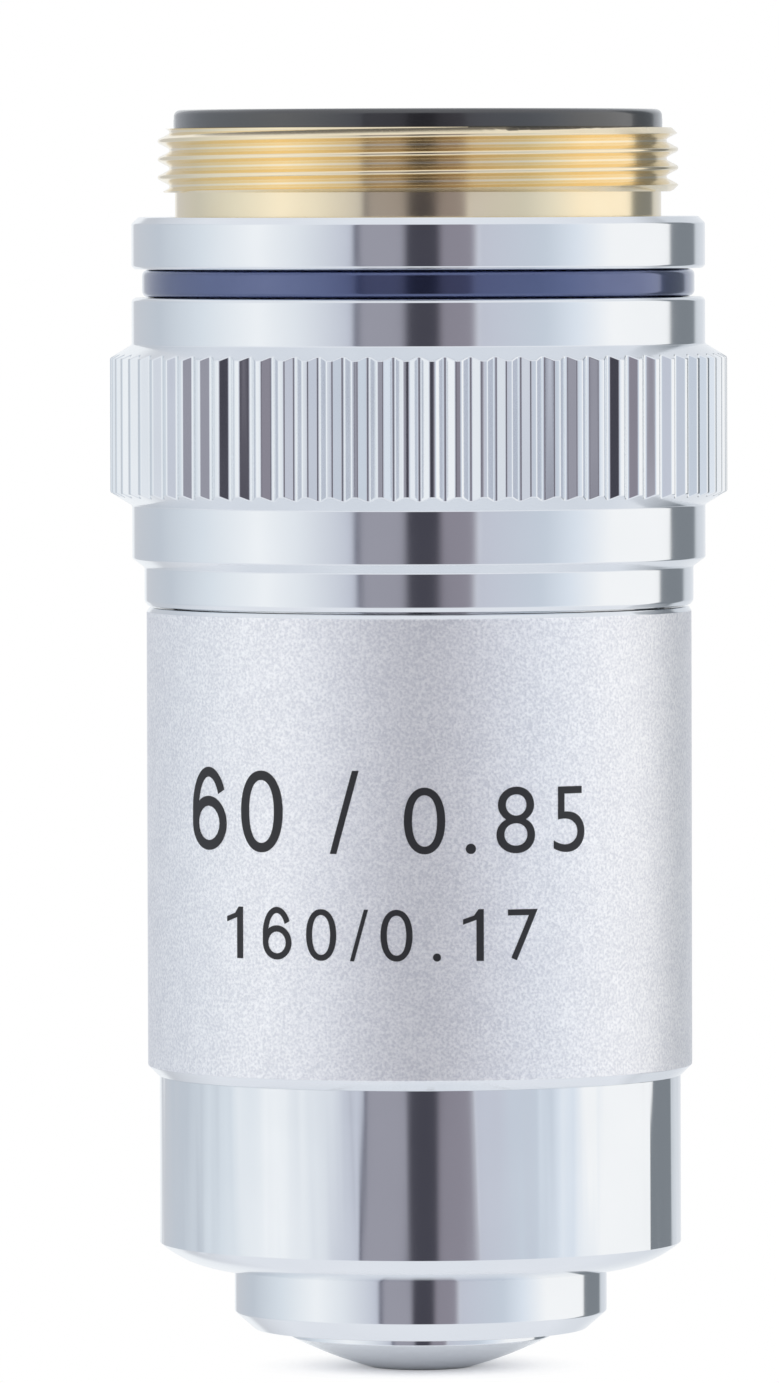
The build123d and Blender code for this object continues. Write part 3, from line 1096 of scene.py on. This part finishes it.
@dataclass
class Nose(SubAssembly):
    """Sliding nose barrel with its front cell and front lens."""

    barrel: Span = Span.of("nose_barrel")
    cell: Span = Span.of("front_cell")
    lens: Span = Span.of("front_lens")
    stop_face: float = -29.4
    thread_step: float = 0.25
    side_wall: float = 1.65
    front_wall: float = 2.0
    edge_length: float = 0.7
    edge_depth: float = 0.8
    hole_r: float = 4.22
    shank_r: float = 4.2
    shank_bore_r: float = 3.2
    seat: float = Span.of("meniscus_cell").bottom
    cell_rim: float = 0.3
    tip_face_r: float = 1.95
    tip_bulge: float = 0.08
    lens_r: float = 1.35
    fit: float = 0.02
    key_width: float = 1.3
    key_depth: float = 0.55
    key_length: float = 4.3
    key_z: float = -32.9
    edge_break: float = 0.05
    tip_break: float = 0.035

    def make_barrel(self) -> Object:
        """Turn the nose barrel and mill its keyway."""
        nose_r = self.barrel.radius
        bore_r = nose_r - self.side_wall
        thread_r = nose_r - self.thread_step
        wall_z = self.barrel.bottom + self.front_wall
        barrel = turn(
            "nose_barrel_turned",
            [
                (self.hole_r, self.barrel.bottom),
                (nose_r - self.edge_depth, self.barrel.bottom),
                (nose_r, self.barrel.bottom + self.edge_length),
                (nose_r, self.stop_face),
                (thread_r, self.stop_face),
                (thread_r, self.barrel.top),
                (bore_r, self.barrel.top),
                (bore_r, wall_z),
                (self.hole_r, wall_z),
            ],
        )
        keyway = block(
            (self.key_width, 2 * self.key_depth, self.key_length), (0.0, nose_r, self.key_z)
        )
        machine(barrel, keyway, Overlap.REMOVE)
        break_edges(barrel, self.edge_break)
        return barrel

    def make_cell(self) -> Object:
        """Turn the domed front cell with the round socket of its lens."""
        socket_r = self.lens_r + self.fit
        centre_z = self.lens.top - self.lens_r
        dome = arc(
            (self.tip_face_r, self.cell.bottom),
            (self.cell.radius, self.barrel.bottom - self.cell_rim),
            self.tip_bulge,
            CURVE_STEPS,
        )
        mouth = math.asin((centre_z - self.cell.bottom) / socket_r)
        socket = oval((0.0, centre_z), (socket_r, -socket_r), 0.0, mouth, CORNER_STEPS)
        cell = turn(
            "front_cell_turned",
            [
                *dome,
                (self.cell.radius, self.barrel.bottom),
                (self.shank_r, self.barrel.bottom),
                (self.shank_r, self.cell.top),
                (self.shank_bore_r, self.cell.top),
                (self.shank_bore_r, self.seat),
                (socket_r, self.seat),
                *socket,
            ],
        )
        break_edges(cell, self.tip_break)
        return cell

    def make_lens(self) -> Object:
        """Turn the ball-shaped front lens with its flat face."""
        centre_z = self.lens.top - self.lens_r
        low = math.asin((self.lens.bottom - centre_z) / self.lens_r)
        ball = oval((0.0, centre_z), (self.lens_r, self.lens_r), low, math.pi / 2, 32)
        return turn(
            "front_lens_polished",
            [(0.0, self.lens.bottom), *ball[:-1], (0.0, self.lens.top)],
            closed=False,
            steps=96,
        )

    def build(self) -> None:
        """Make and hand over the nose barrel, front cell and front lens."""
        hand_over(self.make_barrel(), Body.NOSE, Slot.BRIGHT_CHROME, "nose_barrel")
        hand_over(self.make_cell(), Body.NOSE, Slot.BRIGHT_CHROME, "front_cell")
        hand_over(self.make_lens(), Body.NOSE, Slot.OPTICAL_GLASS, "front_lens")


@dataclass
class Spring(SubAssembly):
    """Round-wire compression spring with ground ends."""

    room: Span = Span.of("main_spring")
    wire_r: float = 0.35
    turns: float = 5.25
    steps: int = 72
    travel: float = 3.0

    def make_spring(self) -> Object:
        """Wind the wire past both ends and grind it flat there."""
        mean_r = self.room.radius - self.wire_r
        pitch = (self.room.top - self.room.bottom) / self.turns
        overrun = 2 * self.wire_r
        wound = self.turns + 2 * overrun / pitch
        spring = add_shape(
            "circle",
            vertices=16,
            radius=self.wire_r,
            location=(mean_r, 0.0, self.room.bottom - overrun),
            rotation=(math.pi / 2, 0.0, 0.0),
        )
        spring.name = "main_spring_wound"
        apply_modifier(
            spring,
            "SCREW",
            axis="Z",
            angle=math.tau * wound,
            screw_offset=pitch * wound,
            iterations=1,
            steps=int(self.steps * wound),
            render_steps=int(self.steps * wound),
        )
        with editing(spring):
            saw_off(self.room.top, keep_above=False)
            saw_off(self.room.bottom, keep_above=True)
            face_outwards()
        return spring

    def build(self) -> None:
        """Make and hand over the spring with a mesh of its own. The real spring shortens as the
        nose goes in.
        """
        spring = hand_over(self.make_spring(), Body.HOUSING, Slot.SPRING_STEEL, "main_spring")
        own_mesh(spring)


@dataclass(frozen=True)
class Flag:
    """A dark upright card in the tent. Its angles are degrees from the front, to the right."""

    start: float
    end: float
    softness: float
    colour: str
    rims: tuple[tuple[float, str], ...] = ()  # the cloth's colours right beside it


@dataclass(frozen=True)
class Lamp:
    """A square softbox that lights the object but stays out of its reflections."""

    name: str
    place: tuple[float, float, float]
    side: float
    power: float  # watts


@dataclass
class Studio:
    """Camera, lamps, floor and the white tent with the dark flags that chrome needs."""

    camera_place: tuple[float, float, float] = (-1.11, -520.0, 0.86)
    pitch_down: float = 2.13
    roll: float = 0.146
    lens: float = 347.9
    film: float = 36.0
    floor_z: float = Span.of("front_cell").bottom
    floor_size: float = 4000.0
    floor_glow: float = 0.22
    floor_colour: str = "#EEEFF2"
    shadow_reach: tuple[float, float] = (1.5, 7.0)  # its shadow fades between these radii
    cloth: tuple[tuple[float, str], ...] = (  # degrees from the front, to the right
        (-180.0, "#F4F7FA"),
        (-167.0, "#F4F7FA"),
        (-163.0, "#CBCED4"),
        (-128.0, "#C6CDD6"),
        (-98.0, "#E0E7EE"),
        (-68.0, "#FAFCFE"),
        (-50.0, "#EAEEF3"),
        (-30.0, "#CDD1DC"),
        (27.0, "#C9CCD8"),
        (52.0, "#CDD5E0"),
        (66.0, "#E4EBF4"),
        (84.0, "#FFFFFF"),
        (118.0, "#FFFFFF"),
        (152.0, "#D5DAE0"),
        (163.0, "#DEE2E8"),
        (180.0, "#F4F7FA"),
    )
    flags: tuple[Flag, ...] = (
        Flag(-25.4, -24.2, 0.5, "#5A5C6A", ((-25.9, "#C6C9D6"),)),
        Flag(-23.6, -6.2, 1.2, "#9E9DA8"),
        Flag(-4.6, 7.6, 1.4, "#46454F"),
        Flag(9.4, 22.2, 1.0, "#8F8B96", ((23.2, "#EDF0F8"), (24.4, "#C6C9D5"))),
        Flag(122.4, 147.0, 1.2, "#80868C", ((121.2, "#FFFFFF"), (148.2, "#CDD2D8"))),
    )
    flag_reach: tuple[float, float] = (22.0, 42.0)  # degrees above level where flags fade out
    steep_colour: str = "#E9ECF2"
    fill_colour: str = "#C8CAD0"
    backdrop_colour: str = "#FFFFFF"
    lamps: tuple[Lamp, ...] = (
        Lamp("softbox_left", (-500.0, -350.0, 250.0), 420.0, 2.2),
        Lamp("softbox_right", (500.0, -350.0, 250.0), 420.0, 2.2),
        Lamp("softbox_top", (0.0, 60.0, 560.0), 500.0, 1.6),
    )
    lamp_aim: tuple[float, float, float] = (0.0, 0.0, -20.0)

    def place_camera(self) -> None:
        """Stand the camera where the photograph was taken from."""
        data = bpy.data.cameras.new("camera")
        data.lens = self.lens
        data.sensor_fit = "VERTICAL"
        data.sensor_height = self.film
        data.clip_start = 0.01
        camera = bpy.data.objects.new("camera", data)
        bpy.context.scene.collection.objects.link(camera)
        camera.location = Vector(self.camera_place) * MM
        tilt = math.radians(90.0 - self.pitch_down)
        camera.rotation_euler = (tilt, math.radians(self.roll), 0.0)
        bpy.context.scene.camera = camera

    def hang_lamp(self, lamp: Lamp) -> None:
        """Hang one lamp, aimed at the object."""
        data = bpy.data.lights.new(lamp.name, "AREA")
        data.size = lamp.side * MM
        data.energy = lamp.power
        light = bpy.data.objects.new(lamp.name, data)
        bpy.context.scene.collection.objects.link(light)
        light.location = Vector(lamp.place) * MM
        aim = Vector(self.lamp_aim) - Vector(lamp.place)
        light.rotation_euler = aim.to_track_quat("-Z", "Y").to_euler()
        light.visible_camera = False
        light.visible_glossy = False

    def horizon(self) -> list[tuple[float, Colour]]:
        """List the tent's colours round the horizon, with the flags let in."""
        stops = list(self.cloth)
        for flag in self.flags:
            low, high = flag.start - flag.softness, flag.end + flag.softness
            stops = [stop for stop in stops if not low < stop[0] < high]
        for flag in self.flags:
            stops += [(flag.start, flag.colour), (flag.end, flag.colour), *flag.rims]
        return [(angle, srgb(code)) for angle, code in sorted(stops)]

    def light_world(self) -> None:
        """Surround the object with a white tent that has the photograph's dark strips."""
        world = bpy.data.worlds.new("tent")
        bpy.context.scene.world = world
        world.use_nodes = True
        world.node_tree.nodes.clear()
        add = partial(add_node, world.node_tree)
        direction = add("TexCoord").outputs["Generated"]
        axes = add("SeparateXYZ", {"Vector": direction}).outputs
        depth = add("Math", {0: axes["Y"], 1: -1.0}, operation="MULTIPLY").outputs[0]
        bearing = add("Math", {0: axes["X"], 1: depth}, operation="ARCTAN2")
        turned = {"Value": bearing.outputs[0], "From Min": -math.pi, "From Max": math.pi}
        share = add("MapRange", turned)
        strips = add("ValToRGB", {"Fac": share.outputs["Result"]})
        set_ramp(strips, [((angle + 180.0) / 360.0, colour) for angle, colour in self.horizon()])
        steep = add("Math", {0: axes["Z"]}, operation="ABSOLUTE").outputs[0]
        low, high = (math.sin(math.radians(angle)) for angle in self.flag_reach)
        fade = add("MapRange", {"Value": steep, "From Min": low, "From Max": high})
        above = srgb(self.steep_colour)
        tent = add(
            "Mix",
            {"Factor": fade.outputs["Result"], "A": strips.outputs["Color"], "B": above},
            data_type="RGBA",
        ).outputs["Result"]
        rays = add("LightPath").outputs
        shiny = add(
            "Mix",
            {"Factor": rays["Is Glossy Ray"], "A": srgb(self.fill_colour), "B": tent},
            data_type="RGBA",
        ).outputs["Result"]
        direct = {0: rays["Is Camera Ray"], 1: rays["Is Transmission Ray"]}
        seen = add("Math", direct, operation="MAXIMUM").outputs[0]
        white = srgb(self.backdrop_colour)
        colour = add("Mix", {"Factor": seen, "A": shiny, "B": white}, data_type="RGBA")
        background = add("Background", {"Color": colour.outputs["Result"]})
        add("OutputWorld", {"Surface": background.outputs["Background"]})

    def lay_floor(self) -> None:
        """Lay the pale floor at the lens tip.

        The camera sees its shadow only near the tip, and white beyond. Mirrored rays see the card
        near the tip and the tent beyond. From below it can't be seen.
        """
        bpy.ops.object.select_all(action="DESELECT")
        bpy.ops.mesh.primitive_plane_add(
            size=self.floor_size * MM, location=(0.0, 0.0, self.floor_z * MM)
        )
        floor = bpy.context.object
        floor.name = "floor"
        material = bpy.data.materials.new("white_card")
        material.use_nodes = True
        material.node_tree.nodes.clear()
        add = partial(add_node, material.node_tree)
        paper = {"Base Color": srgb(self.floor_colour), "Roughness": 0.9}
        card = add("BsdfPrincipled", paper).outputs["BSDF"]
        glow = add("Emission", {"Strength": self.floor_glow}).outputs[0]
        lit = add("AddShader", {0: card, 1: glow}).outputs[0]
        white = add("Emission").outputs[0]
        clear = add("BsdfTransparent").outputs[0]
        place = add("TexCoord").outputs["Object"]
        reach = add("VectorMath", {0: place}, operation="LENGTH").outputs["Value"]
        near, far = (distance * MM for distance in self.shadow_reach)
        fade = add(
            "MapRange",
            {"Value": reach, "From Min": near, "From Max": far},
            interpolation_type="SMOOTHSTEP",
        ).outputs["Result"]
        rays = add("LightPath").outputs
        behind = add("NewGeometry").outputs["Backfacing"]
        seen = add("MixShader", {0: fade, 1: lit, 2: white}).outputs[0]
        direct = add("MixShader", {0: rays["Is Camera Ray"], 1: card, 2: seen})
        mirrored = add("MixShader", {0: fade, 1: card, 2: clear})
        either = add(
            "MixShader",
            {0: rays["Is Glossy Ray"], 1: direct.outputs[0], 2: mirrored.outputs[0]},
        )
        surface = add("MixShader", {0: behind, 1: either.outputs[0], 2: clear})
        add("OutputMaterial", {"Surface": surface.outputs[0]})
        floor.data.materials.append(material)

    def build(self) -> None:
        """Set the whole studio up."""
        bpy.context.scene.view_settings.view_transform = "Standard"
        self.place_camera()
        self.light_world()
        self.lay_floor()
        for lamp in self.lamps:
            self.hang_lamp(lamp)


def main() -> None:
    """Dress the CAD nodes, build every sub-assembly in order, then the studio."""
    logging.basicConfig(level=logging.INFO, format="%(name)s: %(message)s")
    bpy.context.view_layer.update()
    dress_nodes()
    for assembly in (RearMount(), Grip(), Barrel(), FrontCollar(), Nose(), Spring()):
        assembly.build()
    Studio().build()


if __name__ == "__main__":
    main()
